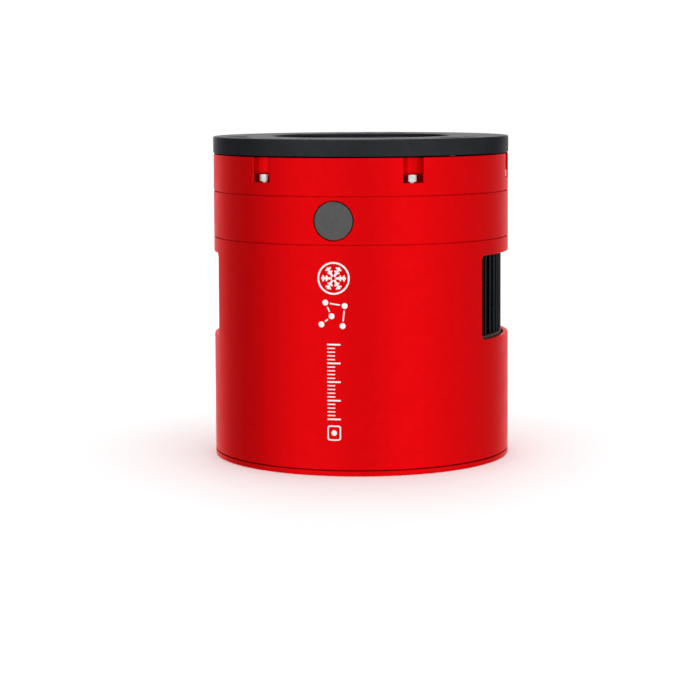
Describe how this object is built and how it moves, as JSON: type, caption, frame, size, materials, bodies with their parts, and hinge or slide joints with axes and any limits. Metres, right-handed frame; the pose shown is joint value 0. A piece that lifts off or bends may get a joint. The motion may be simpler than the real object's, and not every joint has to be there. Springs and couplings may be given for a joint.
{
  "type": "cooled astronomy camera",
  "caption": "Round red cooled astronomy camera with a black tilt plate and threaded front opening, side vents over a finned heat sink, rear fan and ports.",
  "frame": {"origin": "centre of the rear cover's outer face, on which the camera stands", "axes": "+Z along the optical axis towards the telescope, -Y towards the desiccant plug, vents at +X and -X"},
  "size_m": [0.09, 0.09, 0.097],
  "materials": {
    "red_anodised": "satin",
    "black_anodised": "satin",
    "fin_black": "satin",
    "plug_grey": "matte",
    "steel": "satin",
    "seal_rubber": "matte",
    "window_glass": "polished, coated",
    "heater_film": "satin",
    "desiccant_white": "matte",
    "sensor_silicon": "polished",
    "ceramic": "matte",
    "circuit_board": "satin",
    "copper": "machined",
    "brass": "machined",
    "foam": "matte",
    "black_plastic": "matte",
    "magnet": "matte"
  },
  "bodies": {
    "body": {"window_retainer": "black_anodised", "front_housing": "red_anodised", "middle_housing": "red_anodised", "main_shell": "red_anodised", "rear_cover": "red_anodised", "heat_sink": "fin_black", "window_seal": "seal_rubber", "chamber_seal": "seal_rubber", "window_glass": "window_glass", "sensor_cover_glass": "window_glass", "window_heater": "heater_film", "desiccant_pack": "desiccant_white", "sensor_die": "sensor_silicon", "sensor_package": "ceramic", "cooler_lower_stage": "ceramic", "cooler_upper_stage": "ceramic", "sensor_board": "circuit_board", "main_board": "circuit_board", "cold_finger": "copper", "fan_stator": "copper", "insulation_ring": "foam", "fan_shroud": "black_plastic", "fan_frame": "black_plastic", "image_processor": "black_plastic", "power_jack": "black_plastic", "fan_bearing": "brass", "usb3_port": "steel", "usb2_port_1": "steel", "usb2_port_2": "steel", "board_post_1": "brass", "rear_screw_1": "steel", "fan_screw_1": "steel", "board_post_2": "brass", "rear_screw_2": "steel", "fan_screw_2": "steel", "board_post_3": "brass", "rear_screw_3": "steel", "fan_screw_3": "steel", "board_post_4": "brass", "rear_screw_4": "steel", "fan_screw_4": "steel", "front_screw_1": "steel", "front_screw_2": "steel", "front_screw_3": "steel", "front_screw_4": "steel", "front_screw_5": "steel", "front_screw_6": "steel"},
    "tilt_plate": {"tilt_plate": "black_anodised"},
    "plug": {"desiccant_plug": "plug_grey", "plug_seal": "seal_rubber"},
    "fan_wheel": {"fan_rotor": "black_plastic", "fan_magnet": "magnet", "fan_shaft": "steel"},
    "pull_screw_1": {"pull_screw_1": "steel"},
    "push_screw_1": {"push_screw_1": "steel"},
    "pull_screw_2": {"pull_screw_2": "steel"},
    "push_screw_2": {"push_screw_2": "steel"},
    "pull_screw_3": {"pull_screw_3": "steel"},
    "push_screw_3": {"push_screw_3": "steel"}
  },
  "joints": [
    {"name": "plate_tilt", "type": "hinge", "parent": "body", "child": "tilt_plate", "pos_m": [0, 0.0383, 0.092], "axis": [-1, 0, 0], "range_deg": [0, 0.5]},
    {"name": "plug_pull", "type": "slide", "parent": "body", "child": "plug", "axis": [0, -1, 0], "range_m": [0, 0.01]},
    {"name": "fan_spin", "type": "hinge", "parent": "body", "child": "fan_wheel", "pos_m": [0, -0.008, 0.01], "axis": [0, 0, 1], "continuous": true},
    {"name": "pull_screw_1_turn", "type": "hinge", "parent": "tilt_plate", "child": "pull_screw_1", "pos_m": [0.03079, -0.02278, 0.0941], "axis": [0, 0, 1], "range_deg": [-180, 180]},
    {"name": "pull_screw_2_turn", "type": "hinge", "parent": "tilt_plate", "child": "pull_screw_2", "pos_m": [-0.03512, -0.01527, 0.0941], "axis": [0, 0, 1], "range_deg": [-180, 180]},
    {"name": "pull_screw_3_turn", "type": "hinge", "parent": "tilt_plate", "child": "pull_screw_3", "pos_m": [0.00434, 0.03805, 0.0941], "axis": [0, 0, 1], "range_deg": [-180, 180]},
    {"name": "push_screw_1_turn", "type": "hinge", "parent": "tilt_plate", "child": "push_screw_1", "pos_m": [0.03512, -0.01527, 0.092], "axis": [0, 0, 1], "range_deg": [-180, 180]},
    {"name": "push_screw_2_turn", "type": "hinge", "parent": "tilt_plate", "child": "push_screw_2", "pos_m": [-0.03079, -0.02278, 0.092], "axis": [0, 0, 1], "range_deg": [-180, 180]},
    {"name": "push_screw_3_turn", "type": "hinge", "parent": "tilt_plate", "child": "push_screw_3", "pos_m": [-0.00434, 0.03805, 0.092], "axis": [0, 0, 1], "range_deg": [-180, 180]}
  ]
}
